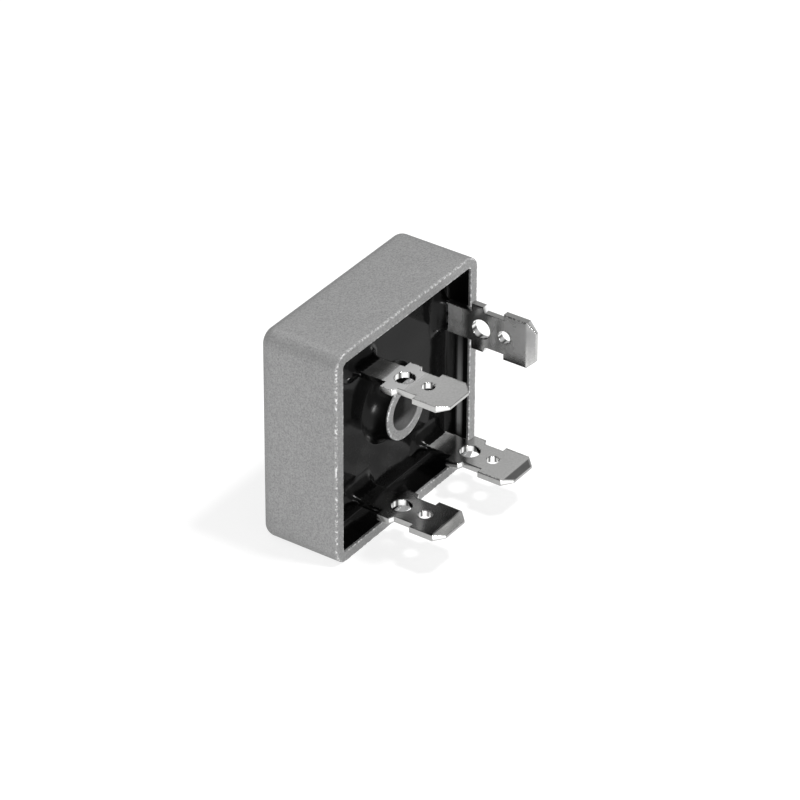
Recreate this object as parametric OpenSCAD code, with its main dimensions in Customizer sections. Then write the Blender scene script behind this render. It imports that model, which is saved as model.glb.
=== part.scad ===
// Single-phase bridge rectifier in a square aluminium case.
//
// The case is a cup whose base bolts to a heat sink through a hollow centre post. Four silicon
// diodes lie in a ring between two lower plates and two upper straps, four push-on tabs stand on
// those strips, and black casting resin fills the cup and climbs a little up whatever it wets.
//
// Every piece is drawn lying on its mounting face, with the tabs pointing up: x is across, y is
// along the case and z is the height above the mounting face. stand() then tips the whole part on
// one side of its case, so that the tabs point to -Y and the mounting face looks to +Y. The origin
// is the centre of the mounting hole on the mounting face.

/* [Case] */
// Side of the square case
case_side = 28.6; // [27:0.1:34]
// Height of the case, from its mounting face to its rim
case_h = 10.9; // [10:0.1:14]
// Thickness of the case's four walls
wall = 1.35; // [0.9:0.05:1.8]
// Thickness of the case's base
base_t = 2; // [1.4:0.1:2.6]
// Radius of the case's four upright corners
corner_r = 2; // [1.5:0.1:3]
// Radius of the edge between the base and the walls
base_edge_r = 1.4; // [0.6:0.1:1.5]
// Radius of the cavity's four corners
cavity_corner_r = 0.6; // [0.3:0.1:1.2]

/* [Mounting post] */
// Diameter of the mounting hole, for a 5 mm screw
hole_d = 5.3; // [4.4:0.1:5.8]
// Wall of the post round the mounting hole
post_wall = 1.2; // [0.8:0.1:1.6]
// Depth of the post's end below the rim
post_drop = 0.2; // [0.1:0.1:0.8]

/* [Casting resin] */
// Depth of the resin's level surface below the rim
resin_drop = 2.9; // [2:0.1:3.4]
// Bare height that the resin leaves below the rim where it climbs the walls
resin_wall_bare = 0.3; // [0.2:0.1:1]
// Bare height that the resin leaves below the end of the post
resin_post_bare = 0.6; // [0.4:0.1:1.2]
// Height that the resin climbs up each tab's neck
resin_neck_climb = 1.3; // [0.6:0.1:1.6]
// Width of the hollow curve in which the resin rises beside a wall or a neck
resin_climb_w = 1.1; // [0.6:0.1:1.4]
// Thickness of the resin at the upper edge of its climb
resin_film = 0.08; // [0.05:0.01:0.12]

/* [Tabs] */
// Width of the push-on blades
tab_w = 6.2; // [6:0.1:6.6]
// Thickness of the tab strip
tab_t = 0.8; // [0.7:0.05:0.9]
// Height of the blades' tips above the rim
tab_reach = 11; // [10.4:0.1:13]
// Size of the blades' corner chamfers, and length of the coined bevel at their tips
tip_chamfer = 1.2; // [0.6:0.1:1.6]
// Thickness of the coined tip
tip_t = 0.4; // [0.3:0.05:0.6]
// Length of the blades' full-width head, from the tip
head_len = 4.4; // [3.6:0.1:4.6]
// Length of the narrower waist behind the head
waist_len = 2.55; // [2.3:0.05:3]
// Depth of the waist's notch on each side
waist_cut = 0.75; // [0.5:0.05:0.9]
// Length over which the shoulder slopes into the waist
waist_slope = 0.3; // [0.1:0.05:0.5]
// Length of the full-width shoulder behind the waist
shoulder_len = 1.65; // [1.2:0.05:2]
// Width of the neck between the shoulder and the foot
neck_w = 4; // [3.4:0.1:4.4]
// Diameter of the detent hole in the waist
detent_d = 1.7; // [1.5:0.1:1.9]
// Distance of the detent hole's centre from the tip
detent_in = 4.3; // [4.2:0.1:4.6]
// Diameter of the wire hole in the shoulder
wire_hole_d = 2.55; // [2:0.05:2.8]
// Distance of the wire hole's centre from the tip
wire_hole_in = 7.5; // [7.3:0.1:7.8]
// Length of the foot that is soldered down, from the neck's far face
foot_len = 3; // [2.4:0.1:3]
// Inner radius of the bend above the foot
bend_r = 0.4; // [0.3:0.1:0.6]

/* [Tab places] */
// Distance of the positive tab from the right side of the case
positive_side_in = 3.95; // [3.8:0.05:4.6]
// Distance of the positive tab's middle from the top side
positive_top_in = 7.1; // [6.6:0.1:7.6]
// Distance of the negative tab's middle from the left side
negative_side_in = 8.1; // [7.4:0.1:8.6]
// Distance of the negative tab from the bottom side
negative_bottom_in = 5.25; // [5:0.05:5.6]
// Distance of the left AC tab's middle from the left side
ac_left_side_in = 8.55; // [7.8:0.05:8.8]
// Distance of the left AC tab from the top side
ac_left_top_in = 5.95; // [5.4:0.05:6.2]
// Distance of the right AC tab's middle from the right side
ac_right_side_in = 6.3; // [5.8:0.1:7]
// Distance of the right AC tab from the bottom side
ac_right_bottom_in = 5.05; // [5:0.05:5.4]

/* [Bridge] */
// Thickness of the insulating sheet under the lower plates
sheet_t = 0.3; // [0.2:0.05:0.5]
// Gap round the insulating sheet, at the walls and at the post
sheet_gap = 0.3; // [0.2:0.05:0.5]
// Thickness of the two lower plates
plate_t = 0.8; // [0.5:0.05:1]
// Thickness of the two upper straps
strap_t = 0.6; // [0.4:0.05:0.7]
// Width of the plates' and straps' arms
strip_w = 5.2; // [4.8:0.1:5.6]
// Gap between the plates and the case's walls
strip_gap = 1; // [0.6:0.1:1.2]
// Side of the square silicon dice
die_side = 4.2; // [3.6:0.1:4.4]
// Thickness of the dice
die_t = 0.32; // [0.24:0.02:0.4]
// Width of the step round the top of each die
die_step_w = 0.3; // [0.2:0.05:0.4]
// Depth of the step round the top of each die
die_step_t = 0.12; // [0.08:0.02:0.16]
// Length of the arms beyond each die
die_margin = 0.5; // [0.3:0.1:0.8]
// Diameter of the solder discs on the dice
solder_d = 3.4; // [2.8:0.1:3.5]
// Thickness of every solder layer
solder_t = 0.12; // [0.08:0.02:0.16]
// Margin of the solder layer inside each foot
solder_margin = 0.3; // [0.2:0.1:0.5]
// Place of the upper die along its side, from the middle
die_top_at = 2; // [1:0.1:2.6]
// Place of the right die along its side, from the middle
die_right_at = -1; // [-1.6:0.1:0]
// Place of the lower die along its side, from the middle
die_bottom_at = 0.6; // [-0.4:0.1:1.4]
// Place of the left die along its side, from the middle
die_left_at = -0.5; // [-1.4:0.1:0.8]

/* [Hidden] */
$fn = 64;

aluminium = [0.62, 0.62, 0.61];
copper = [0.72, 0.45, 0.3];
tin = [0.8, 0.8, 0.78];
solder_grey = [0.6, 0.6, 0.6];
silicon = [0.25, 0.27, 0.33];
mica = [0.75, 0.68, 0.5];
resin = [0.06, 0.06, 0.06];

// Overlap that a cutting shape runs past the face that it cuts
past = 1;
// Straight pieces that make up each hollow curve of the resin
climb_steps = 6;

half = case_side / 2;
cavity_side = case_side - 2 * wall;
cavity_half = cavity_side / 2;
post_r = hole_d / 2 + post_wall;
post_h = case_h - post_drop;

// Plan lines of the bridge: the strips' outer edge, inner edge and middle
strip_out = cavity_half - strip_gap;
strip_in = strip_out - strip_w;
strip_mid = (strip_out + strip_in) / 2;

// Heights of the bridge's layers above the mounting face
plate_z = base_t + sheet_t;
lower_solder_z = plate_z + plate_t;
die_z = lower_solder_z + solder_t;
upper_solder_z = die_z + die_t;
strap_z = upper_solder_z + solder_t;
strap_top_z = strap_z + strap_t;
resin_z = case_h - resin_drop;

// Each tab's place: [x, y, turn of its foot, height of what it stands on]
positive = [half - positive_side_in, half - positive_top_in, 90, strap_top_z];
negative = [-half + negative_side_in, -half + negative_bottom_in, 180, strap_top_z];
ac_left = [-half + ac_left_side_in, half - ac_left_top_in, 0, lower_solder_z];
ac_right = [half - ac_right_side_in, -half + ac_right_bottom_in, 180, lower_solder_z];

// Plan places of the four dice
top_die = [die_top_at, strip_mid];
right_die = [strip_mid, die_right_at];
bottom_die = [die_bottom_at, -strip_mid];
left_die = [-strip_mid, die_left_at];
die_reach = die_side / 2 + die_margin;

// Heights along a tab, down from its tip
tip_z = case_h + tab_reach;
head_z = tip_z - head_len;
waist_z = head_z - waist_len;
slope_z = waist_z - waist_slope;
shoulder_z = slope_z - shoulder_len;

// Tips the lying part on its side: the base looks to +Y and the tabs point to -Y
module stand() {
    rotate([90, 0, 0]) children();
}

// Square with round corners, centred
module rounded_square(side, r) {
    square([side - 2 * r, side], center = true);
    square([side, side - 2 * r], center = true);
    for (x = [-1, 1], y = [-1, 1])
        translate([x * (side / 2 - r), y * (side / 2 - r)]) circle(r);
}

// Half of the case's upright section, from its axis out to reach, with the round base edge
module case_section(reach) {
    intersection() {
        union() {
            translate([0, base_edge_r]) square([reach, case_h - base_edge_r]);
            square([reach - base_edge_r, case_h]);
            translate([reach - base_edge_r, base_edge_r]) circle(base_edge_r);
        }
        square([reach, case_h]);
    }
}

// The case's outer form: four half bars, and a quarter turn of their section at each corner
module case_block() {
    flat = case_side - 2 * corner_r;
    for (turn = [0, 90, 180, 270]) rotate(turn) {
        rotate([90, 0, 0]) linear_extrude(flat, center = true) case_section(half);
        translate([flat / 2, flat / 2, 0]) rotate_extrude(angle = 90) case_section(corner_r);
    }
}

module case() {
    color(aluminium) stand() difference() {
        union() {
            difference() {
                case_block();
                translate([0, 0, base_t]) linear_extrude(case_h)
                    rounded_square(cavity_side, cavity_corner_r);
            }
            cylinder(h = post_h, r = post_r);
        }
        translate([0, 0, -past]) cylinder(h = case_h + 2 * past, d = hole_d);
    }
}

module insulating_sheet() {
    color(mica) stand() translate([0, 0, base_t]) linear_extrude(sheet_t) difference() {
        rounded_square(cavity_side - 2 * sheet_gap, cavity_corner_r);
        circle(post_r + sheet_gap);
    }
}

// Upright rectangle between two corners given in any order
module span(a, b) {
    translate([min(a.x, b.x), min(a.y, b.y)]) square([abs(a.x - b.x), abs(a.y - b.y)]);
}

// L-shaped strip in the corner given by two signs; its arms end at the plan lines in ends
module corner_strip(corner, ends, z, thick) {
    color(copper) stand() translate([0, 0, z]) linear_extrude(thick) {
        span([ends.x, corner.y * strip_in], corner * strip_out);
        span([corner.x * strip_in, ends.y], corner * strip_out);
    }
}

module plate_ac_left() {
    ends = [top_die.x + die_reach, left_die.y - die_reach];
    corner_strip([-1, 1], ends, plate_z, plate_t);
}

module plate_ac_right() {
    ends = [bottom_die.x - die_reach, right_die.y + die_reach];
    corner_strip([1, -1], ends, plate_z, plate_t);
}

module strap_positive() {
    ends = [top_die.x - die_reach, right_die.y - die_reach];
    corner_strip([1, 1], ends, strap_z, strap_t);
}

module strap_negative() {
    ends = [bottom_die.x + die_reach, left_die.y + die_reach];
    corner_strip([-1, -1], ends, strap_z, strap_t);
}

// Square silicon die with a step etched round its upper edge
module die(at) {
    top_side = die_side - 2 * die_step_w;
    color(silicon) stand() translate([at.x, at.y, die_z]) {
        linear_extrude(die_t - die_step_t) square(die_side, center = true);
        linear_extrude(die_t) square(top_side, center = true);
    }
}

module solder_disc(at, z) {
    color(solder_grey) stand() translate([at.x, at.y, z]) cylinder(h = solder_t, d = solder_d);
}

// Outline of a tab from the bend up: neck, shoulder, waist, head and chamfered tip
module tab_outline(from_z) {
    side = [
        [neck_w / 2, from_z],
        [neck_w / 2, shoulder_z],
        [tab_w / 2, shoulder_z],
        [tab_w / 2, slope_z],
        [tab_w / 2 - waist_cut, waist_z],
        [tab_w / 2 - waist_cut, head_z],
        [tab_w / 2, head_z],
        [tab_w / 2, tip_z - tip_chamfer],
        [tab_w / 2 - tip_chamfer, tip_z],
    ];
    last = len(side) - 1;
    difference() {
        polygon(concat(side, [for (i = [0:last]) [-side[last - i].x, side[last - i].y]]));
        translate([0, tip_z - detent_in]) circle(d = detent_d);
        translate([0, tip_z - wire_hole_in]) circle(d = wire_hole_d);
    }
}

// Edge view of a tab's upright part, coined thinner towards the tip
module tab_edge_view(from_z) {
    polygon([
        [-tab_t / 2, from_z],
        [tab_t / 2, from_z],
        [tab_t / 2, tip_z - tip_chamfer],
        [tip_t / 2, tip_z],
        [-tip_t / 2, tip_z],
        [-tab_t / 2, tip_z - tip_chamfer],
    ]);
}

// Whole tab at its place: upright blade, bend and foot; the foot runs to +y before the turn
module tab(place) {
    foot_z = place[3] + solder_t;
    bend_z = foot_z + tab_t + bend_r;
    bend_y = tab_t / 2 + bend_r;
    translate([place.x, place.y, 0]) rotate(place[2]) {
        intersection() {
            rotate([90, 0, 0]) linear_extrude(2 * tab_t, center = true) tab_outline(bend_z);
            rotate([90, 0, 90]) linear_extrude(2 * tab_w, center = true) tab_edge_view(bend_z);
        }
        translate([-neck_w / 2, bend_y, bend_z]) rotate([0, 90, 0])
            rotate([0, 0, -90]) rotate_extrude(angle = 90) translate([bend_r, 0])
                square([tab_t, neck_w]);
        translate([-neck_w / 2, bend_y, foot_z])
            cube([neck_w, foot_len - tab_t - bend_r, tab_t]);
    }
}

module terminal(place) {
    color(tin) stand() tab(place);
}

// Solder under a tab's flat foot
module foot_solder(place) {
    start = tab_t / 2 + bend_r;
    color(solder_grey) stand() translate([place.x, place.y, place[3]]) rotate(place[2])
        translate([-neck_w / 2 + solder_margin, start, 0])
            cube([neck_w - 2 * solder_margin, foot_len - tab_t - bend_r - solder_margin, solder_t]);
}

// Section of the resin's rise beside an upright face: a hollow quarter ellipse above its level
function climb_section(climb) = concat(
    [[0, 0], [0, climb]],
    [for (i = [0:climb_steps])
        let (a = 90 * i / climb_steps)
        [resin_film + (resin_climb_w - resin_film) * (1 - cos(a)), climb * (1 - sin(a))]]);

// Straight run of that rise, beside a face at x = 0
module climb_run(length, climb) {
    rotate([90, 0, 0]) linear_extrude(length, center = true) polygon(climb_section(climb));
}

// The resin's rise round a tab's neck
module neck_climb(place) {
    size = [neck_w, tab_t];
    translate([place.x, place.y, resin_z]) rotate(place[2]) {
        translate([-size.x / 2, -size.y / 2, 0]) cube([size.x, size.y, resin_neck_climb]);
        for (s = [0, 1]) {
            rotate(180 * s) translate([size.x / 2, 0, 0]) climb_run(size.y, resin_neck_climb);
            rotate(90 + 180 * s) translate([size.y / 2, 0, 0]) climb_run(size.x, resin_neck_climb);
        }
        for (s = [0:3])
            translate([(s == 0 || s == 3 ? 1 : -1) * size.x / 2, (s < 2 ? 1 : -1) * size.y / 2, 0])
                rotate(90 * s) rotate_extrude(angle = 90) polygon(climb_section(resin_neck_climb));
    }
}

// The resin before the embedded pieces are taken out of it
module resin_block() {
    post_climb = resin_drop - post_drop - resin_post_bare;
    wall_climb = resin_drop - resin_wall_bare;
    translate([0, 0, base_t]) linear_extrude(resin_z - base_t)
        rounded_square(cavity_side, cavity_corner_r);
    intersection() {
        translate([0, 0, base_t]) linear_extrude(case_h)
            rounded_square(cavity_side, cavity_corner_r);
        for (turn = [0, 90, 180, 270]) rotate(turn) translate([-cavity_half, 0, resin_z])
            climb_run(cavity_side, wall_climb);
    }
    translate([0, 0, resin_z]) rotate_extrude()
        translate([post_r, 0]) polygon(climb_section(post_climb));
    for (place = [positive, negative, ac_left, ac_right]) neck_climb(place);
}

module potting() {
    color(resin) difference() {
        stand() resin_block();
        stand() cylinder(h = case_h, r = post_r);
        insulating_sheet();
        plate_ac_left();
        plate_ac_right();
        strap_positive();
        strap_negative();
        for (at = [top_die, right_die, bottom_die, left_die]) {
            die(at);
            solder_disc(at, lower_solder_z);
            solder_disc(at, upper_solder_z);
        }
        for (place = [positive, negative, ac_left, ac_right]) {
            terminal(place);
            foot_solder(place);
        }
    }
}

case();
insulating_sheet();
plate_ac_left();
plate_ac_right();
strap_positive();
strap_negative();
die(top_die);  // die_top
die(right_die);  // die_right
die(bottom_die);  // die_bottom
die(left_die);  // die_left
solder_disc(top_die, lower_solder_z);  // solder_die_top_lower
solder_disc(top_die, upper_solder_z);  // solder_die_top_upper
solder_disc(right_die, lower_solder_z);  // solder_die_right_lower
solder_disc(right_die, upper_solder_z);  // solder_die_right_upper
solder_disc(bottom_die, lower_solder_z);  // solder_die_bottom_lower
solder_disc(bottom_die, upper_solder_z);  // solder_die_bottom_upper
solder_disc(left_die, lower_solder_z);  // solder_die_left_lower
solder_disc(left_die, upper_solder_z);  // solder_die_left_upper
foot_solder(positive);  // solder_foot_positive
foot_solder(negative);  // solder_foot_negative
foot_solder(ac_left);  // solder_foot_ac_left
foot_solder(ac_right);  // solder_foot_ac_right
terminal(positive);  // terminal_positive
terminal(negative);  // terminal_negative
terminal(ac_left);  // terminal_ac_left
terminal(ac_right);  // terminal_ac_right
potting();
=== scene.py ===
"""Looks of a metal-cased bridge rectifier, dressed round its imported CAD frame.

Lengths below are in millimetres unless a name says metres. The case stands on one side: its mounting
face looks to +Y, its four tabs point to -Y, and a height is a distance from the mounting face.
"""

import bmesh
import bpy
import numpy as np
from mathutils import Matrix, Vector


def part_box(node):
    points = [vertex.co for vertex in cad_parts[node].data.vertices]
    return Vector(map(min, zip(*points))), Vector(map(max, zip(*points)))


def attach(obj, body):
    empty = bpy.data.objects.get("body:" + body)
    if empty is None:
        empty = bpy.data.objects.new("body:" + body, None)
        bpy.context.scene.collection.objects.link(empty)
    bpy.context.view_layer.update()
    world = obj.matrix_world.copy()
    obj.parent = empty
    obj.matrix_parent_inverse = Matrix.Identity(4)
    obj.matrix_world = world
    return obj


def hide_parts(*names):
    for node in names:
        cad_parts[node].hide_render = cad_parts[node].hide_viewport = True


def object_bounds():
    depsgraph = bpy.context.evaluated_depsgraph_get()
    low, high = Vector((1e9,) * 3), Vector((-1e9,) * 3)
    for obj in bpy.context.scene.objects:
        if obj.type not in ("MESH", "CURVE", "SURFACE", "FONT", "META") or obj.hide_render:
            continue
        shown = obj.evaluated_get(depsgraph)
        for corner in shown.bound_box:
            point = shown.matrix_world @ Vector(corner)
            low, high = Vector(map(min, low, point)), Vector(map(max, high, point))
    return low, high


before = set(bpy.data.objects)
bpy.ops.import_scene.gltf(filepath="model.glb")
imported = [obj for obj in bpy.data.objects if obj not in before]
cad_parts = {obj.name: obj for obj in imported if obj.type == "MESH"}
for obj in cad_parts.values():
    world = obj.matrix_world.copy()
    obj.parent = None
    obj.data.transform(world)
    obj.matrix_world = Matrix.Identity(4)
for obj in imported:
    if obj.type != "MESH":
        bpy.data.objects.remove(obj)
CAD_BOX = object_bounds()
MM = 0.001

# ---------------------------------------------------------------- sizes, as in the CAD source
CASE_LOW, CASE_HIGH = (np.array(corner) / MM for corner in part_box("case"))
HALF = (CASE_HIGH[0] - CASE_LOW[0]) / 2
RIM = CASE_HIGH[1] - CASE_LOW[1]
WALL = 1.35
CAVITY = HALF - WALL
FLOOR = 2.0
CORNER_R = 2.0
BASE_EDGE_R = 1.4
CAVITY_CORNER_R = 0.6
BORE_R = 2.65
POST_R = 3.85
POST_END = RIM - 0.2
RESIN_LEVEL = RIM - 2.9
WALL_CLIMB = 2.6
POST_CLIMB, POST_WIDTH, POST_REACH = 2.5, 0.66, 1.3
NECK_CLIMB, NECK_WIDTH, NECK_REACH = 1.8, 0.48, 1.5
CLIMB_WIDTH = 1.1
FILM = 0.08
TAB_HALF_W = 3.1
TAB_HALF_T = 0.4
TIP_HALF_T = 0.2
TIP_BEVEL = 1.2
HEAD = 4.4
WAIST_END = HEAD + 2.55
SLOPE_END = WAIST_END + 0.3
SHOULDER_END = SLOPE_END + 1.65
WAIST_HALF_W = TAB_HALF_W - 0.75
NECK_HALF_W = 2.0
DETENT_R, DETENT_AT = 0.85, 4.3
WIRE_R, WIRE_AT = 1.275, 7.5
TIP_HEIGHT = RIM + 11.0
BEND_R = 0.4
FOOT_LENGTH = 3.0

SEED = 7


# ---------------------------------------------------------------- small tools for numpy surfaces
def ripple(s, waves, low, high, seed):
    """Smooth random line: a sum of sines of s, a turn from 0 to 1, whose whole counts of waves lie between
    low and high. It closes on itself and its size is about 1."""
    rng = np.random.default_rng(seed)
    counts = rng.integers(low, high, waves)
    phases = rng.uniform(0, 2 * np.pi, waves)
    return np.sin(2 * np.pi * np.outer(s, counts) + phases).sum(1) / np.sqrt(waves / 2)


def waviness(a, b, waves, wavelength, seed):
    """Smooth random field over a plan: a sum of plane waves in every direction, of size about 1."""
    rng = np.random.default_rng(seed)
    angle = rng.uniform(0, 2 * np.pi, waves)
    pitch = 2 * np.pi / (wavelength * rng.uniform(0.7, 1.6, waves))
    phase = rng.uniform(0, 2 * np.pi, waves)
    total = np.zeros(np.shape(a))
    for turn, k, p in zip(angle, pitch, phase):
        total = total + np.sin(k * (np.cos(turn) * a + np.sin(turn) * b) + p)
    return total / np.sqrt(waves / 2)


def grid_faces(rows, columns, wrap_rows, wrap_columns, start=0):
    """Four-sided faces of a grid of points numbered row by row, closed round where a wrap is true."""
    i = np.arange(rows if wrap_rows else rows - 1)
    j = np.arange(columns if wrap_columns else columns - 1)
    i, j = np.meshgrid(i, j, indexing="ij")
    i2, j2 = (i + 1) % rows, (j + 1) % columns
    quads = np.stack([i * columns + j, i * columns + j2, i2 * columns + j2, i2 * columns + j], -1)
    return quads.reshape(-1, 4) + start


def make_piece(name, points, quads, material, replaced, masks):
    """Mesh object from points in millimetres and four-sided faces. Points in one place are joined, so
    that the surface closes, the faces are turned outwards, and edges sharper than 35 degrees stay crisp.
    masks are named values on the points."""
    mesh = bpy.data.meshes.new(name)
    mesh.vertices.add(len(points))
    mesh.vertices.foreach_set("co", (points * MM).astype(np.float32).ravel())
    mesh.loops.add(quads.size)
    mesh.loops.foreach_set("vertex_index", quads.astype(np.int32).ravel())
    mesh.polygons.add(len(quads))
    mesh.polygons.foreach_set("loop_start", np.arange(0, quads.size, 4, dtype=np.int32))
    mesh.update(calc_edges=True)
    for mask, values in masks.items():
        layer = mesh.attributes.new(mask, "FLOAT", "POINT")
        layer.data.foreach_set("value", np.asarray(values, np.float32))
    joined = bmesh.new()
    joined.from_mesh(mesh)
    bmesh.ops.remove_doubles(joined, verts=joined.verts, dist=0.001 * MM)
    bmesh.ops.recalc_face_normals(joined, faces=joined.faces)
    joined.to_mesh(mesh)
    joined.free()
    mesh.validate()
    mesh.polygons.foreach_set("use_smooth", np.ones(len(mesh.polygons), bool))
    mesh.set_sharp_from_angle(angle=np.radians(35))
    piece = bpy.data.objects.new(name, mesh)
    bpy.context.scene.collection.objects.link(piece)
    piece.data.materials.append(material)
    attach(piece, "root")
    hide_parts(*replaced)
    return piece


# ---------------------------------------------------------------- node helpers and shared effects
def new_group(name, inputs, outputs):
    """Empty shader node group. inputs and outputs are (name, socket type, default) in order."""
    group = bpy.data.node_groups.new(name, "ShaderNodeTree")
    for title, kind, value in inputs:
        socket = group.interface.new_socket(title, in_out="INPUT", socket_type=kind)
        if value is not None:
            socket.default_value = value
    for title, kind in outputs:
        group.interface.new_socket(title, in_out="OUTPUT", socket_type=kind)
    return group, group.nodes.new("NodeGroupInput"), group.nodes.new("NodeGroupOutput")


def math_node(nodes, links, operation, a, b=None, clamp=False):
    """Math node fed by sockets or numbers."""
    node = nodes.new("ShaderNodeMath")
    node.operation = operation
    node.use_clamp = clamp
    for index, value in enumerate((a, b)):
        if value is None:
            continue
        if isinstance(value, (int, float)):
            node.inputs[index].default_value = value
        else:
            links.new(value, node.inputs[index])
    return node.outputs[0]


def noise_node(nodes, links, vector, scale, detail=2.0, roughness=0.5):
    """Noise texture on a vector, with its scale given by a socket or a number."""
    node = nodes.new("ShaderNodeTexNoise")
    node.inputs["Detail"].default_value = detail
    node.inputs["Roughness"].default_value = roughness
    links.new(vector, node.inputs["Vector"])
    if isinstance(scale, (int, float)):
        node.inputs["Scale"].default_value = scale
    else:
        links.new(scale, node.inputs["Scale"])
    return node.outputs["Fac"]


def grain_group():
    """Grain of a blasted or cast skin: fine pits, with broad soft patches over them.
    Tone is a factor about 1 for the colour, Height drives a bump."""
    group, given, result = new_group(
        "skin grain",
        [("Vector", "NodeSocketVector", None), ("Pitch", "NodeSocketFloat", 9000.0),
         ("Depth", "NodeSocketFloat", 0.1), ("Patches", "NodeSocketFloat", 0.05)],
        [("Tone", "NodeSocketFloat"), ("Height", "NodeSocketFloat")])
    nodes, links = group.nodes, group.links
    fine = noise_node(nodes, links, given.outputs["Vector"], given.outputs["Pitch"], 3.0, 0.6)
    broad = noise_node(nodes, links, given.outputs["Vector"], 160.0, 2.0, 0.5)
    fine_tone = math_node(nodes, links, "MULTIPLY",
                          math_node(nodes, links, "SUBTRACT", fine, 0.5), given.outputs["Depth"])
    broad_tone = math_node(nodes, links, "MULTIPLY",
                           math_node(nodes, links, "SUBTRACT", broad, 0.5), given.outputs["Patches"])
    tone = math_node(nodes, links, "ADD", math_node(nodes, links, "ADD", fine_tone, broad_tone), 1.0)
    links.new(tone, result.inputs["Tone"])
    links.new(fine, result.inputs["Height"])
    return group


def smudge_group():
    """Handling marks: cloudy patches that raise the roughness, drawn out along one direction."""
    group, given, result = new_group(
        "handling marks",
        [("Vector", "NodeSocketVector", None), ("Low", "NodeSocketFloat", 0.1),
         ("High", "NodeSocketFloat", 0.2), ("Pitch", "NodeSocketFloat", 300.0)],
        [("Roughness", "NodeSocketFloat"), ("Mask", "NodeSocketFloat")])
    nodes, links = group.nodes, group.links
    cloud = noise_node(nodes, links, given.outputs["Vector"], given.outputs["Pitch"], 3.0, 0.55)
    span = math_node(nodes, links, "SUBTRACT", given.outputs["High"], given.outputs["Low"])
    rough = math_node(nodes, links, "ADD", given.outputs["Low"],
                      math_node(nodes, links, "MULTIPLY", cloud, span))
    links.new(rough, result.inputs["Roughness"])
    links.new(cloud, result.inputs["Mask"])
    return group


def knocks_group():
    """Broken bright lengths along an edge: a noise cut off below a level set by Amount."""
    group, given, result = new_group(
        "knocked lengths",
        [("Vector", "NodeSocketVector", None), ("Pitch", "NodeSocketFloat", 1500.0),
         ("Amount", "NodeSocketFloat", 0.5), ("Sharpness", "NodeSocketFloat", 9.0)],
        [("Mask", "NodeSocketFloat")])
    nodes, links = group.nodes, group.links
    cloud = noise_node(nodes, links, given.outputs["Vector"], given.outputs["Pitch"], 2.0, 0.6)
    above = math_node(nodes, links, "SUBTRACT", cloud,
                      math_node(nodes, links, "SUBTRACT", 1.0, given.outputs["Amount"]))
    mask = math_node(nodes, links, "MULTIPLY", math_node(nodes, links, "ADD", above, 0.04),
                     given.outputs["Sharpness"], clamp=True)
    links.new(mask, result.inputs["Mask"])
    return group


GRAIN = grain_group()
SMUDGE = smudge_group()
KNOCKS = knocks_group()


class Finish:
    """One material with its Principled shader and the pieces that most finishes share."""

    def __init__(self, name, metallic, roughness, specular=0.5):
        self.material = bpy.data.materials.new(name)
        self.material.use_nodes = True
        self.nodes = self.material.node_tree.nodes
        self.links = self.material.node_tree.links
        self.shader = next(n for n in self.nodes if n.type == "BSDF_PRINCIPLED")
        self.shader.inputs["Metallic"].default_value = metallic
        self.shader.inputs["Roughness"].default_value = roughness
        self.shader.inputs["Specular IOR Level"].default_value = specular
        self.place = self.nodes.new("ShaderNodeTexCoord").outputs["Object"]

    def group(self, tree, **values):
        node = self.nodes.new("ShaderNodeGroup")
        node.node_tree = tree
        self.links.new(self.place, node.inputs["Vector"])
        for key, value in values.items():
            node.inputs[key].default_value = value
        return node

    def toned(self, colour, tone):
        """The colour times a tone, into Base Color."""
        mix = self.nodes.new("ShaderNodeMix")
        mix.data_type = "RGBA"
        mix.blend_type = "MULTIPLY"
        mix.inputs["Factor"].default_value = 1.0
        mix.inputs["A"].default_value = (*colour, 1.0)
        grey = self.nodes.new("ShaderNodeCombineColor")
        for channel in ("Red", "Green", "Blue"):
            self.links.new(tone, grey.inputs[channel])
        self.links.new(grey.outputs["Color"], mix.inputs["B"])
        return mix.outputs["Result"]

    def blended(self, low, high, mask):
        """Colour from low to high by a mask."""
        mix = self.nodes.new("ShaderNodeMix")
        mix.data_type = "RGBA"
        for socket, value in (("A", low), ("B", high)):
            if isinstance(value, tuple):
                mix.inputs[socket].default_value = (*value, 1.0)
            else:
                self.links.new(value, mix.inputs[socket])
        self.links.new(mask, mix.inputs["Factor"])
        return mix.outputs["Result"]

    def attribute(self, name):
        node = self.nodes.new("ShaderNodeAttribute")
        node.attribute_name = name
        return node.outputs["Fac"]

    def bump(self, height, strength, distance):
        node = self.nodes.new("ShaderNodeBump")
        node.inputs["Strength"].default_value = strength
        node.inputs["Distance"].default_value = distance
        self.links.new(height, node.inputs["Height"])
        self.links.new(node.outputs["Normal"], self.shader.inputs["Normal"])
        return node

    def feed(self, socket, value):
        self.links.new(value, self.shader.inputs[socket])
        return self


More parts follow.
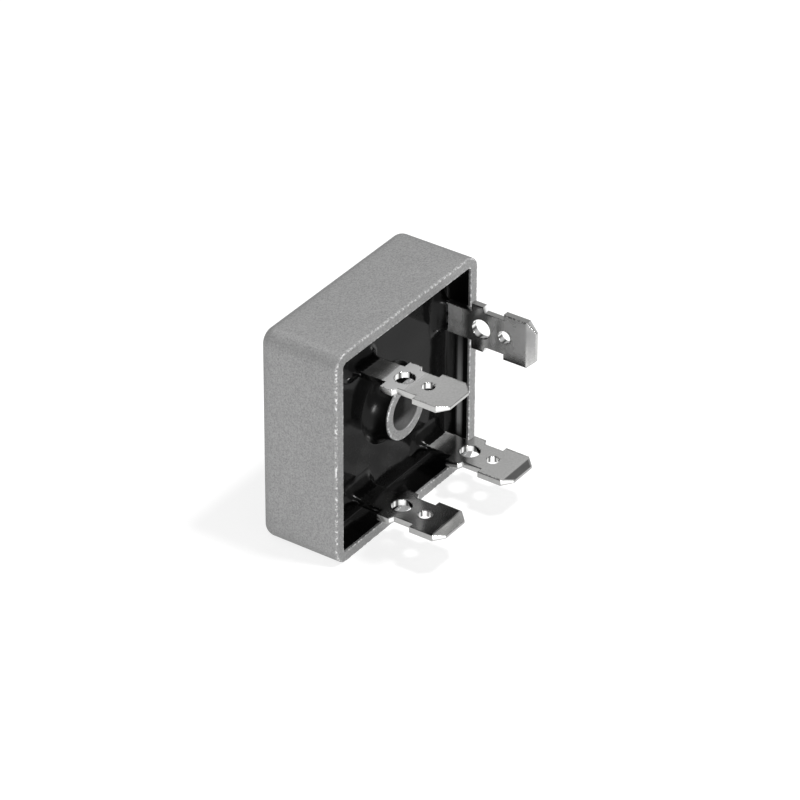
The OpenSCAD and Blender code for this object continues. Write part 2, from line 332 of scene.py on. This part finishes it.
def blasted_aluminium():
    """Grit-blasted aluminium: an even grey with fine grain, and painted shade where it turns away from the
    view.
    Burred edges are knocked bright in short broken lengths, and the bore is darkened with painted shade."""
    finish = Finish("blasted aluminium", 0.75, 0.6)
    nodes, links = finish.nodes, finish.links
    grain = finish.group(GRAIN, Pitch=5200.0, Depth=1.2, Patches=0.14)
    skin = finish.toned((0.37, 0.37, 0.37), grain.outputs["Tone"])
    # painted shade: the skin darkens towards 0.12 where the surface turns away from the view
    facing = nodes.new("ShaderNodeLayerWeight").outputs["Facing"]
    turned = math_node(nodes, links, "POWER", facing, 3.0)
    turned = math_node(nodes, links, "MULTIPLY", turned, 0.5, clamp=True)
    skin = finish.blended(skin, (0.12, 0.12, 0.12), turned)
    # painted shade: the bore is darkened towards 0.13 by its mask
    skin = finish.blended(skin, (0.13, 0.13, 0.13), finish.attribute("dull"))
    knocks = finish.group(KNOCKS, Pitch=2400.0, Amount=0.47)
    edge = math_node(nodes, links, "MULTIPLY", finish.attribute("edge"), knocks.outputs["Mask"])
    finish.feed("Base Color", finish.blended(skin, (0.8, 0.8, 0.8), edge))
    finish.feed("Metallic", math_node(nodes, links, "ADD", 0.75,
                                      math_node(nodes, links, "MULTIPLY", edge, 0.25)))
    finish.feed("Roughness", math_node(nodes, links, "SUBTRACT", 0.6,
                                       math_node(nodes, links, "MULTIPLY", edge, 0.25)))
    finish.bump(grain.outputs["Height"], 0.2, 0.00005)
    return finish.material


def bright_tin():
    """Tin plate on brass strip: a smooth mirror, with painted highlights in white on the near corner cuts and
    shoulder slopes and round the hole walls, painted shade in dark bands round the holes and on the tip
    bevels, sides darkened partly for the unplated shear and partly as painted shade, and matt where the
    plating is hazy."""
    finish = Finish("bright tin", 1.0, 0.1)
    nodes, links = finish.nodes, finish.links
    marks = finish.group(SMUDGE, Low=0.05, High=0.2, Pitch=260.0)
    grain = finish.group(GRAIN, Pitch=4200.0, Depth=0.35, Patches=0.1)
    skin = finish.toned((0.77, 0.77, 0.76), grain.outputs["Tone"])
    # painted shade: darkens the sides (partly unplated shear), the dark bands round the holes and the tip
    # bevel
    skin = finish.blended(skin, (0.03, 0.03, 0.03), finish.attribute("dull"))
    # painted highlight: white on the near corner cuts and shoulder slopes and round the hole walls
    skin = finish.blended(skin, (1.0, 1.0, 1.0), finish.attribute("bright"))
    smears = finish.group(KNOCKS, Pitch=380.0, Amount=0.6, Sharpness=4.0)
    cloud = math_node(nodes, links, "ADD", 0.55,
                      math_node(nodes, links, "MULTIPLY", smears.outputs["Mask"], 0.5))
    haze = math_node(nodes, links, "MULTIPLY", finish.attribute("haze"), cloud, clamp=True)
    skin = finish.blended(skin, (0.46, 0.46, 0.46), haze)
    finish.feed("Base Color", skin)
    finish.feed("Metallic", math_node(nodes, links, "SUBTRACT", 1.0,
                                      math_node(nodes, links, "MULTIPLY", haze, 0.8)))
    finish.feed("Roughness", math_node(nodes, links, "ADD", marks.outputs["Roughness"],
                                       math_node(nodes, links, "MULTIPLY", haze, 0.25)))
    finish.bump(marks.outputs["Mask"], 0.15, 0.00004)
    return finish.material


def casting_resin():
    """Black casting resin: a level skin with a faint haze, a wet gloss where it climbs, and a painted
    highlight in grey along a band of the +X wall's climb."""
    finish = Finish("black casting resin", 0.0, 0.08, 0.06)
    nodes, links = finish.nodes, finish.links
    marks = finish.group(SMUDGE, Low=0.03, High=0.12, Pitch=420.0)
    grain = finish.group(GRAIN, Pitch=1500.0, Depth=0.4, Patches=0.6)
    wet = finish.attribute("wet")
    skin = finish.blended(finish.toned((0.01, 0.01, 0.01), grain.outputs["Tone"]), (0.002, 0.002, 0.002), wet)
    # painted highlight: a grey band on the +X wall's climb
    finish.feed("Base Color", finish.blended(skin, (0.3, 0.3, 0.3), finish.attribute("painted_streak")))
    finish.feed("Roughness", math_node(nodes, links, "ADD", marks.outputs["Roughness"],
                                       math_node(nodes, links, "MULTIPLY", wet, 0.15)))
    finish.feed("Coat Weight", math_node(nodes, links, "MULTIPLY", wet, 0.28))
    finish.shader.inputs["Coat Roughness"].default_value = 0.2
    finish.bump(marks.outputs["Mask"], 0.1, 0.00005)
    return finish.material


def plain_metal(name, colour, roughness, pitch):
    """Inner metal of one colour with grain and handling marks."""
    finish = Finish(name, 1.0, roughness)
    marks = finish.group(SMUDGE, Low=roughness * 0.7, High=roughness * 1.4, Pitch=pitch)
    grain = finish.group(GRAIN, Pitch=pitch * 10, Depth=0.3, Patches=0.3)
    finish.feed("Base Color", finish.toned(colour, grain.outputs["Tone"]))
    finish.feed("Roughness", marks.outputs["Roughness"])
    finish.bump(grain.outputs["Height"], 0.15, 0.00005)
    return finish.material


def plain_solid(name, colour, roughness, pitch):
    """Inner solid that isn't metal, of one colour with grain and marks."""
    finish = Finish(name, 0.0, roughness)
    marks = finish.group(SMUDGE, Low=roughness * 0.7, High=roughness * 1.4, Pitch=pitch)
    grain = finish.group(GRAIN, Pitch=pitch * 10, Depth=0.4, Patches=0.5)
    finish.feed("Base Color", finish.toned(colour, grain.outputs["Tone"]))
    finish.feed("Roughness", marks.outputs["Roughness"])
    return finish.material


ALUMINIUM = blasted_aluminium()
TIN = bright_tin()
RESIN = casting_resin()
COPPER = plain_metal("rolled copper", (0.72, 0.36, 0.2), 0.3, 400.0)
SOLDER = plain_metal("soft solder", (0.42, 0.42, 0.43), 0.35, 900.0)
SILICON = plain_solid("polished silicon", (0.06, 0.065, 0.08), 0.15, 600.0)
MICA = plain_solid("mica sheet", (0.45, 0.38, 0.25), 0.4, 500.0)


# ---------------------------------------------------------------- case
def square_ring(half, radius, flat_points, corner_points):
    """Plan points round a square with round corners, in turn from its right side: on each side flat_points
    evenly along the straight and corner_points round the quarter circle after it."""
    straight = half - radius
    t = np.linspace(-1, 1, flat_points)
    side = np.stack([np.full(flat_points, half), t * straight], 1)
    a = np.linspace(0, np.pi / 2, corner_points + 2)[1:-1]
    corner = straight + radius * np.stack([np.cos(a), np.sin(a)], 1)
    quarter = np.concatenate([side, corner])
    turns = [np.array([[np.cos(q), -np.sin(q)], [np.sin(q), np.cos(q)]]) for q in np.arange(4) * np.pi / 2]
    return np.concatenate([quarter @ turn.T for turn in turns])


def round_ring(radius, like):
    """Plan points on a circle, each in the same direction as the point of another ring."""
    angle = np.arctan2(like[:, 1], like[:, 0])
    return radius * np.stack([np.cos(angle), np.sin(angle)], 1)


def raised(plan, height):
    """Plan points (x, z) at a height above the mounting face, as points in space."""
    return np.stack([plan[:, 0], np.zeros(len(plan)) - height, plan[:, 1]], 1)


def case_piece():
    """The case as one closed surface: a ring of points carried up the bore, over the post's end, down the
    post, out across the floor, up the inner wall, over the rim, down the outer wall, round the base edge
    and back across the mounting face. Each rim edge is a quarter circle whose radius wanders along the
    rim."""
    flat, corner = 140, 14
    outer = square_ring(HALF, CORNER_R, flat, corner)
    turn = np.arange(len(outer)) / len(outer)
    burr = 0.115 + 0.014 * ripple(turn, 24, 40, 170, SEED)
    inner_burr = 0.07 + 0.01 * ripple(turn, 24, 40, 170, SEED + 1)
    post_edge = 0.1 + 0.02 * ripple(turn, 12, 10, 60, SEED + 2)
    rings, edges, dulls = [], [], []

    def add(plan, height, edge=0.0, dull=0.0):
        rings.append(raised(plan, height))
        edges.append(np.zeros(len(plan)) + edge)
        dulls.append(np.zeros(len(plan)) + dull)

    def square(inset):
        """Ring parallel to the outer wall, a distance inside it that may differ along the ring."""
        direction = outer - np.clip(outer, CORNER_R - HALF, HALF - CORNER_R)
        direction /= np.linalg.norm(direction, axis=1)[:, None]
        return outer - direction * np.reshape(inset, (-1, 1))

    def cavity(inset):
        """Ring parallel to the cavity's wall, a distance inside the metal from it."""
        ring = square_ring(CAVITY, CAVITY_CORNER_R, flat, corner)
        limit = CAVITY - CAVITY_CORNER_R
        direction = ring - np.clip(ring, -limit, limit)
        direction /= np.linalg.norm(direction, axis=1)[:, None]
        return ring + direction * np.reshape(inset, (-1, 1))

    arc = np.linspace(0, np.pi / 2, 6)
    # painted shade marks the bore's wall
    for height in np.linspace(0.15, POST_END - 0.2, 14):
        add(round_ring(BORE_R, outer), height, dull=0.75)
    for a in arc:
        add(round_ring(1, outer) * (BORE_R + 0.1 * (1 - np.cos(a))), POST_END - 0.1 * (1 - np.sin(a)))
    for f in np.linspace(0.25, 0.75, 3):
        add(round_ring(BORE_R + 0.1 + f * (POST_R - BORE_R - 0.2), outer), POST_END)
    for a in arc[::-1]:
        r = (POST_R - post_edge * (1 - np.cos(a)))[:, None]
        add(round_ring(1, outer) * r, POST_END - post_edge * (1 - np.sin(a)), 1.0)
    for height in np.linspace(POST_END - 0.3, FLOOR, 12):
        add(round_ring(POST_R, outer), height)
    floor_in, floor_out = round_ring(POST_R, outer), cavity(0.0)
    for f in np.linspace(0.1, 0.9, 8):
        add(floor_in + (floor_out - floor_in) * f, FLOOR)
    for height in np.linspace(FLOOR, RIM - 0.3, 14):
        add(cavity(0.0), height)
    for a in arc:
        add(cavity(inner_burr * (1 - np.cos(a))), RIM - inner_burr * (1 - np.sin(a)), 1.0)
    low, high = cavity(0.2), square(0.28)
    for f in np.linspace(0, 1, 5):
        add(low + (high - low) * f, RIM)
    for a in arc[::-1]:
        add(square(burr * (1 - np.cos(a))), RIM - burr * (1 - np.sin(a)), 1.0)
    for height in np.linspace(RIM - 0.35, BASE_EDGE_R + 0.01, 16):
        add(square(0.0), height)
    for a in np.linspace(0, np.pi / 2, 14)[1:]:
        add(square(BASE_EDGE_R * (1 - np.cos(a))), BASE_EDGE_R * (1 - np.sin(a)))
    low, high = square(BASE_EDGE_R), round_ring(BORE_R + 0.15, outer)
    for f in np.linspace(0.1, 1, 10):
        add(low + (high - low) * f, 0.0)
    points = np.concatenate(rings)
    quads = grid_faces(len(rings), len(outer), True, True)
    return make_piece("case_shell", points, quads, ALUMINIUM, ["case"],
                      {"edge": np.concatenate(edges), "dull": np.concatenate(dulls)})


# ---------------------------------------------------------------- tabs
def tab_place(node, turn):
    """Plan place of a tab's strip, its turn and the height of its foot's middle, read from its CAD node's
    box."""
    low, high = (np.array(corner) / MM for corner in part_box(node))
    middle = (low + high) / 2
    foot = TAB_HALF_T - high[1]
    if turn == 90:
        return high[0] - TAB_HALF_T, middle[2], turn, foot
    if turn == 180:
        return middle[0], high[2] - TAB_HALF_T, turn, foot
    return middle[0], low[2] + TAB_HALF_T, turn, foot


TABS = {
    "positive": tab_place("terminal_positive", 90),
    "negative": tab_place("terminal_negative", 180),
    "ac_left": tab_place("terminal_ac_left", 0),
    "ac_right": tab_place("terminal_ac_right", 180),
}


def bent_strip(across, through, along, place):
    """Points of a flat strip, given across it, through it and along it from its tip, in space. The strip
    runs down straight, turns a quarter circle of radius R about a line R from its middle and runs on as
    the foot: through' = R - (R - through) cos a + rest and height' = foot + R - (R - through) sin a +
    straight left."""
    x, z, turn, foot = place
    radius = BEND_R + TAB_HALF_T
    straight = TIP_HEIGHT - foot - radius
    a = np.clip((along - straight) / radius, 0, np.pi / 2)
    rest = np.maximum(along - straight - radius * np.pi / 2, 0)
    out = radius - (radius - through) * np.cos(a) + rest
    height = foot + radius - (radius - through) * np.sin(a) + np.maximum(straight - along, 0)
    c, s = np.cos(np.radians(turn)), np.sin(np.radians(turn))
    return np.stack([x + c * across - s * out, -height, z + s * across + c * out], -1)


def dense_line(corners, step):
    """Points along a broken line, about step apart, with every corner kept."""
    corners = np.asarray(corners, float)
    runs = []
    for a, b in zip(corners[:-1], corners[1:]):
        n = max(2, int(np.ceil(np.linalg.norm(b - a) / step)))
        runs.append(a + (b - a) * (np.arange(n) / n)[:, None])
    return np.concatenate([*runs, corners[-1:]])


def offset_loop(loop, distance):
    """Closed loop, run counterclockwise, moved inwards by a distance with mitred corners."""
    before, after = np.roll(loop, 1, 0), np.roll(loop, -1, 0)
    a = (loop - before) / np.linalg.norm(loop - before, axis=1)[:, None]
    b = (after - loop) / np.linalg.norm(after - loop, axis=1)[:, None]
    na, nb = np.stack([a[:, 1], -a[:, 0]], 1), np.stack([b[:, 1], -b[:, 0]], 1)
    mid = na + nb
    mid /= np.maximum(np.einsum("ij,ij->i", mid, na), 0.2)[:, None]
    return loop - mid * distance


def mirrored_loop(edge, columns):
    """Closed loop from the points of one long edge, their mirror images and the lines across both ends."""
    def crossing(point):
        return np.stack([columns[1:-1] * point[0], np.full(len(columns) - 2, point[1])], 1)
    return np.concatenate([edge, crossing(edge[-1]), edge[::-1] * [-1, 1], crossing(edge[0])[::-1]])


def strip_half_thickness(along):
    """Half thickness of a tab's strip: full, but tapered over the bevel at its tip."""
    return np.interp(along, [0, TIP_BEVEL], [TIP_HALF_T, TAB_HALF_T])


def tab_piece(name, place):
    """One tab as a closed surface: a sheared strip with two punched holes, its bend and its foot. It is
    laid out flat as (across, through, along) and then bent. Every sheared edge is rounded by a quarter
    circle."""
    step, edge_r, hole_r = 0.12, 0.06, 0.06
    look = TAB_LOOKS[name[4:]]
    near = -1 if place[2] == 0 else 1
    upper = 1 if place[2] == 0 else -1
    radius = BEND_R + TAB_HALF_T
    straight = TIP_HEIGHT - place[3] - radius
    end = straight + radius * np.pi / 2 + FOOT_LENGTH - TAB_HALF_T - radius
    split = (DETENT_AT + DETENT_R + WIRE_AT - WIRE_R) / 2
    corners = [
        (TAB_HALF_W - TIP_BEVEL, 0.0), (TAB_HALF_W, TIP_BEVEL), (TAB_HALF_W, HEAD),
        (WAIST_HALF_W, HEAD), (WAIST_HALF_W, split), (WAIST_HALF_W, WAIST_END),
        (TAB_HALF_W, SLOPE_END), (TAB_HALF_W, SHOULDER_END),
        (NECK_HALF_W, SHOULDER_END), (NECK_HALF_W, SHOULDER_END + 0.8), (NECK_HALF_W, end),
    ]
    edge = dense_line(corners, step)
    columns = np.linspace(1, -1, 41)
    loop = mirrored_loop(edge, columns)
    inset_edge = offset_loop(loop, edge_r)[:len(edge)]
    inset = mirrored_loop(inset_edge, columns)
    bevel_end, split_at, neck_at = (
        int(np.argmin(np.linalg.norm(edge - corners[k], axis=1))) for k in (1, 4, 9))
    parts, faces, masks = [], [], {"bright": [], "dull": [], "hazy": []}

    def add_grid(across, along, through, wrap=False, **values):
        """Adds a grid of rows by columns, closed round its columns where wrap is true."""
        start = sum(len(part) for part in parts)
        parts.append(np.stack([across, through, along], -1).reshape(-1, 3))
        faces.append(grid_faces(*across.shape, False, wrap, start))
        for key, store in masks.items():
            store.append(np.broadcast_to(values.get(key, 0.0), across.shape).ravel())

    arc = np.linspace(0, np.pi / 2, 5)
    down = [(1 - np.sin(a), 1 - np.cos(a)) for a in arc]
    # rows from one broad face over the edge to the other: share of the inset, side, share of the drop
    section = [(i, 1, d) for i, d in down] + [(i, -1, d) for i, d in down[::-1]]
    section.insert(5, (0.0, 0, 0.0))

    # the sheared outline: a painted highlight on the upper half of the near edge's tip corner cuts and
    # shoulder slopes, and the other sides darkened partly for the unplated shear and partly as painted shade
    corner_cut = (loop[:, 1] < TIP_BEVEL - 0.01) & (np.abs(loop[:, 0]) > TAB_HALF_W - TIP_BEVEL + 0.01)
    slope = (loop[:, 1] > WAIST_END + 0.01) & (loop[:, 1] < SLOPE_END - 0.01)
    painted_glint = (corner_cut | slope) & (loop[:, 0] * near > 0)
    rows = np.array([loop + (inset - loop) * i for i, side, d in section])
    thickness = strip_half_thickness(loop[:, 1])
    through = [side * (thickness - edge_r * d) for i, side, d in section]
    half = np.array([side * upper >= 0 for i, side, d in section])[:, None]
    cut = painted_glint[None, :] & half
    add_grid(rows[..., 0], rows[..., 1], np.array(through), True,
             bright=cut, dull=np.where(cut, 0.0, look["sides"]))

    # the holes' walls
    regions = []
    holes = ((bevel_end, split_at, DETENT_AT, DETENT_R), (split_at, neck_at, WIRE_AT, WIRE_R))
    for first, last, centre, hole in holes:
        ring = mirrored_loop(inset_edge[first:last + 1], columns)
        angle = np.arctan2(ring[:, 1] - centre, ring[:, 0])
        circle = np.stack([np.cos(angle), np.sin(angle)], 1)
        regions.append((ring, circle * hole + [0, centre]))
        # painted reflection on the hole wall: a faint painted highlight all round, strongest in one band,
        # broken by painted dark bands
        bright, dull = painted_hole_reflection(angle - np.radians(look["punch"]))
        r = np.array([hole - hole_r * (1 - i) for i, side, d in section])[:, None]
        through = np.array([side * (TAB_HALF_T - hole_r * d) for i, side, d in section])[:, None]
        add_grid(r * circle[:, 0], centre + r * circle[:, 1], through + 0 * angle, True,
                 bright=bright, dull=dull)

    # the two broad faces: tip, the region round each hole, neck with bend and foot
    for side in (1, -1):
        for first, last in ((0, bevel_end), (neck_at, len(edge) - 1)):
            run = inset_edge[first:last + 1]
            across = run[:, :1] * columns
            along = run[:, 1:] + 0 * across
            # painted shade on the tip bevel, as much as the tab's bevel value
            band = smooth_step((1.05 - along) / 0.12) * smooth_step((run[:, :1] - np.abs(across)) / 0.35)
            deep = strip_half_thickness(edge[first:last + 1, 1:]) + 0 * across
            add_grid(across, along, side * deep, dull=look["bevel"] * band, hazy=1.0)
        for ring, inner in regions:
            grid = inner + (ring - inner) * np.linspace(0, 1, 9)[:, None, None]
            add_grid(grid[..., 0], grid[..., 1], np.full(grid.shape[:2], side * TAB_HALF_T), True, hazy=1.0)

    points = np.concatenate(parts)
    space = bent_strip(points[:, 0], points[:, 1], points[:, 2], place)
    masks = {key: np.concatenate(store) for key, store in masks.items()}
    low_edge = smooth_step((points[:, 0] + TAB_HALF_W) / 2.6)
    haze = np.interp(points[:, 2], *zip(*look["haze"])) * masks.pop("hazy")
    masks["haze"] = haze * (1 - look["fade"] * (1 - low_edge))
    return make_piece(name, space, np.concatenate(faces), TIN, ["terminal_" + name[4:]], masks)


def painted_hole_reflection(angle):
    """Painted highlight and painted shade, from 0 to 1, round the wall of a punched hole, standing in for
    reflections: a painted highlight band at angle 0 between painted dark bands."""
    angle = (angle + np.pi) % (2 * np.pi) - np.pi
    painted_highlight = 0.15 + 0.85 * np.exp(-(angle / 0.2) ** 2)
    painted_dark_band = np.exp(-((np.abs(angle) - 0.5) / 0.17) ** 2) + np.exp(-((np.abs(angle - 0.1) - 1.15) / 0.12) ** 2)
    painted_dark_band = np.clip(painted_dark_band, 0, 1)
    return painted_highlight * (1 - painted_dark_band), painted_dark_band


def smooth_step(t):
    """Smooth rise from 0 at t = 0 to 1 at t = 1."""
    t = np.clip(t, 0, 1)
    return t * t * (3 - 2 * t)


# How each tab's plating and painted light came out: darkening of its sheared sides (partly unplated shear,
# partly painted shade), painted shade on its tip bevel, haze at distances from the tip, how far the haze
# fades at one long edge, and the angle in degrees of the painted reflection round its holes
TAB_LOOKS = {
    "positive": {"sides": 0.35, "bevel": 0.15, "fade": 0.9, "punch": 139,
                 "haze": ((1.0, 0.9), (3.8, 0.8), (5.2, 0.2), (5.8, 0.9), (6.5, 0.1), (9.4, 0.1), (10.4, 0.9),
                          (13.5, 0.8))},
    "negative": {"sides": 0.57, "bevel": 0.0, "fade": 0.0, "punch": 146,
                 "haze": ((1.0, 0.0), (5.5, 0.1), (6.5, 0.2), (7.5, 0.1), (9.0, 0.0))},
    "ac_left": {"sides": 0.4, "bevel": 0.0, "fade": 0.0, "punch": 34,
                "haze": ((1.0, 0.1), (5.5, 0.2), (7.0, 1.2), (9.0, 1.6), (9.5, 0.3), (10.5, 0.05),
                         (13.5, 0.05))},
    "ac_right": {"sides": 0.57, "bevel": 0.8, "fade": 0.0, "punch": 146,
                 "haze": ((1.0, 0.1), (7.5, 0.05), (9.5, 0.0), (10.8, 0.1), (11.8, 0.8), (13.5, 0.8))},
}


# ---------------------------------------------------------------- resin
def neck_distance(x, z, place):
    """Plan distance from points to a tab's neck, taken as a long shape with round ends."""
    px, pz, turn = place[:3]
    c, s = np.cos(np.radians(turn)), np.sin(np.radians(turn))
    across = np.abs(c * (x - px) + s * (z - pz)) - (NECK_HALF_W - TAB_HALF_T)
    through = -s * (x - px) + c * (z - pz)
    return np.hypot(np.maximum(across, 0), through) - TAB_HALF_T


def bead(distance, width, reach):
    """Height, from 1 to 0, of resin that clings to an upright face: exp(-distance / width), cut off at
    reach."""
    low = np.exp(-reach / width)
    return (np.exp(-np.clip(distance, 0, reach) / width) - low) / (1 - low)


def resin_piece():
    """The resin as one closed surface: a ring of points carried up the post, down the post's hollow
    curve, out across the level surface, up the wall's hollow curve, down the wall and back across the
    floor. Round each neck the level rises by a height that falls off as exp(-distance / NECK_WIDTH)."""
    flat, corner = 150, 14
    wall = square_ring(CAVITY, CAVITY_CORNER_R, flat, corner)
    rings, wets, painted_streaks = [], [], []

    def put(plan, height, wet=0.0, painted_streak=0.0):
        rings.append(raised(plan, height))
        wets.append(np.zeros(len(plan)) + wet)
        painted_streaks.append(np.zeros(len(plan)) + painted_streak)

    def inset_square(d):
        radius = min(CAVITY_CORNER_R + 0.8 * d, CAVITY - d)
        return square_ring(CAVITY - d, radius, flat, corner)

    def climb(a, rise):
        """Distance from the wall and height of the hollow quarter ellipse at angle a."""
        return FILM + (CLIMB_WIDTH - FILM) * (1 - np.cos(a)), rise * (1 - np.sin(a))

    def lifted(plan, height, wet=0.0, painted_streak=0.0):
        """Ring at a height, raised by the bead round each neck and by a faint swell."""
        x, z = plan[:, 0], plan[:, 1]
        lift, wave = np.zeros(len(plan)), 0.07 * waviness(x, z, 8, 2.5, SEED + 20)
        for place in TABS.values():
            away = neck_distance(x, z, place) / (1 + wave)
            lift = np.maximum(lift, NECK_CLIMB * bead(away, NECK_WIDTH, NECK_REACH))
        level = height - RESIN_LEVEL
        fade = np.exp(-np.maximum(level, 0) / 0.4)
        swell = 0.01 * waviness(x, z, 10, 6.0, SEED + 5)
        put(plan, height + (lift + swell) * fade, np.maximum(wet, smooth_step(lift / 0.06)), painted_streak)

    for height in np.linspace(FLOOR, RESIN_LEVEL + POST_CLIMB, 4):
        put(round_ring(POST_R, wall), height, 1.0)
    for away in POST_REACH * np.linspace(0, 1, 26) ** 1.5:
        up = POST_CLIMB * bead(away, POST_WIDTH, POST_REACH)
        lifted(round_ring(POST_R + FILM + away, wall), RESIN_LEVEL + up, smooth_step(up / 0.06))
    low = round_ring(POST_R + FILM + POST_REACH, wall)
    high = inset_square(CLIMB_WIDTH)
    for f in np.linspace(0, 1, 96)[1:-1]:
        lifted(low + (high - low) * f, RESIN_LEVEL)
    for a in np.linspace(np.pi / 2, 0, 24):
        d, up = climb(a, WALL_CLIMB)
        # painted highlight: a grey band up the +X wall's climb, between 1.2 and 2.0 above the level, stronger
        # lower down
        painted_streak_height = smooth_step((up - 1.2) / 0.2) * smooth_step((2.0 - up) / 0.2)
        along = smooth_step((7 - wall[:, 1]) / 14) * smooth_step((wall[:, 1] + 11.5) / 1.5)
        along = along * (wall[:, 0] > 12)
        lifted(inset_square(d), RESIN_LEVEL + up, smooth_step(up / 0.06), painted_streak_height * along)
    for height in np.linspace(RESIN_LEVEL + WALL_CLIMB, FLOOR, 4):
        put(wall, height, 1.0)
    low = round_ring(POST_R, wall)
    for f in np.linspace(0, 1, 5)[1:-1]:
        put(wall + (low - wall) * f, FLOOR)
    points = np.concatenate(rings)
    quads = grid_faces(len(rings), len(wall), True, True)
    return make_piece("resin_fill", points, quads, RESIN, ["potting"],
                      {"wet": np.concatenate(wets), "painted_streak": np.concatenate(painted_streaks)})


case_piece()
for tab, at in TABS.items():
    tab_piece("tab_" + tab, at)
resin_piece()

NODE_FINISHES = {
    "case": ALUMINIUM, "potting": RESIN, "terminal": TIN, "plate": COPPER, "strap": COPPER,
    "die": SILICON, "solder": SOLDER, "insulating_sheet": MICA,
}
for node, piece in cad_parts.items():
    material = next(m for start, m in NODE_FINISHES.items() if node.startswith(start))
    piece.data.materials.clear()
    piece.data.materials.append(material)


# ---------------------------------------------------------------- floor, light and camera
def floor_finish():
    """Pale floor: matt white that keeps the shadow, lifted to white where it is looked at or mirrored."""
    material = bpy.data.materials.new("pale floor")
    material.use_nodes = True
    nodes, links = material.node_tree.nodes, material.node_tree.links
    shader = next(n for n in nodes if n.type == "BSDF_PRINCIPLED")
    shader.inputs["Roughness"].default_value = 0.9
    shader.inputs["Specular IOR Level"].default_value = 0.0
    place = nodes.new("ShaderNodeTexCoord").outputs["Object"]
    cloud = noise_node(nodes, links, place, 8.0, 3.0, 0.5)
    ramp = nodes.new("ShaderNodeMapRange")
    ramp.inputs["To Min"].default_value = 0.36
    ramp.inputs["To Max"].default_value = 0.39
    links.new(cloud, ramp.inputs["Value"])
    grey = nodes.new("ShaderNodeCombineColor")
    for channel in ("Red", "Green", "Blue"):
        links.new(ramp.outputs["Result"], grey.inputs[channel])
    links.new(grey.outputs["Color"], shader.inputs["Base Color"])
    seen = seen_rays(nodes, links)
    links.new(math_node(nodes, links, "MULTIPLY", seen, 0.75), shader.inputs["Emission Strength"])
    shader.inputs["Emission Color"].default_value = (1.0, 1.0, 1.0, 1.0)
    return material


def seen_rays(nodes, links):
    """1 for rays that look, mirror or pass through, 0 for the soft light that falls on a surface."""
    path = nodes.new("ShaderNodeLightPath").outputs
    seen = math_node(nodes, links, "MAXIMUM", path["Is Camera Ray"], path["Is Glossy Ray"])
    return math_node(nodes, links, "MAXIMUM", seen, path["Is Transmission Ray"])


def studio():
    """Floor under the object and a world of even white light at strength 0.45."""
    half = 1.5
    z = CAD_BOX[0][2]
    mesh = bpy.data.meshes.new("floor")
    corners = [(-half, -half, z), (half, -half, z), (half, half, z), (-half, half, z)]
    mesh.from_pydata(corners, [], [(0, 1, 2, 3)])
    floor = bpy.data.objects.new("floor", mesh)
    bpy.context.scene.collection.objects.link(floor)
    floor.data.materials.append(floor_finish())
    world = bpy.data.worlds.new("studio")
    bpy.context.scene.world = world
    world.use_nodes = True
    nodes, links = world.node_tree.nodes, world.node_tree.links
    sky = next(n for n in nodes if n.type == "BACKGROUND")
    sky.inputs["Color"].default_value = (1.0, 1.0, 1.0, 1.0)
    high = nodes.new("ShaderNodeSeparateXYZ")
    links.new(nodes.new("ShaderNodeTexCoord").outputs["Generated"], high.inputs[0])
    fall = nodes.new("ShaderNodeMapRange")
    fall.inputs["From Min"].default_value = 0.1
    fall.inputs["From Max"].default_value = 0.5
    fall.inputs["To Min"].default_value = 0.45
    fall.inputs["To Max"].default_value = 0.45
    links.new(high.outputs["Z"], fall.inputs["Value"])
    links.new(fall.outputs["Result"], sky.inputs["Strength"])


def softbox(name, direction, distance, size, radiance):
    """Area lamp that looks at the object from a direction. Its power is radiance times pi times its
    area."""
    data = bpy.data.lights.new(name, "AREA")
    data.shape = "RECTANGLE"
    data.size, data.size_y = size
    data.energy = radiance * np.pi * size[0] * size[1]
    lamp = bpy.data.objects.new(name, data)
    bpy.context.scene.collection.objects.link(lamp)
    aim = Vector((0.0, -0.008, 0.0))
    away = Vector(direction).normalized()
    lamp.location = aim + away * distance
    lamp.rotation_euler = away.to_track_quat("Z", "Y").to_euler()


def camera():
    """Long lens at the viewing angle: azimuth -55.6 degrees and 33 degrees above the floor."""
    a, e, roll = np.radians(-55.61), np.radians(33.03), np.radians(0.32)
    back = np.array([np.sin(a) * np.cos(e), -np.cos(a) * np.cos(e), np.sin(e)])
    right = np.array([np.cos(a), np.sin(a), 0.0])
    up = np.cross(back, right)
    right2 = np.cos(roll) * right + np.sin(roll) * up
    up2 = -np.sin(roll) * right + np.cos(roll) * up
    place = np.array([0.0, -5.5, 0.0]) + 3.544 * right2 - 0.556 * up2 + 511.2 * back
    data = bpy.data.cameras.new("camera")
    data.sensor_width = 36.0
    data.lens = 36.0 * 4375.1 / 800
    data.clip_start = 0.01
    data.clip_end = 20.0
    view = bpy.data.objects.new("camera", data)
    bpy.context.scene.collection.objects.link(view)
    view.matrix_world = Matrix([
        [right2[0], up2[0], back[0], place[0] * MM],
        [right2[1], up2[1], back[1], place[1] * MM],
        [right2[2], up2[2], back[2], place[2] * MM],
        [0, 0, 0, 1]])
    bpy.context.scene.camera = view


studio()
softbox("key softbox", (-0.93, -0.35, 0.08), 0.25, (0.016, 0.08), 36.0)
softbox("top softbox", (0.1, -0.3, 0.93), 0.3, (0.045, 0.045), 112.0)
camera()
bpy.context.scene.view_settings.view_transform = "Standard"
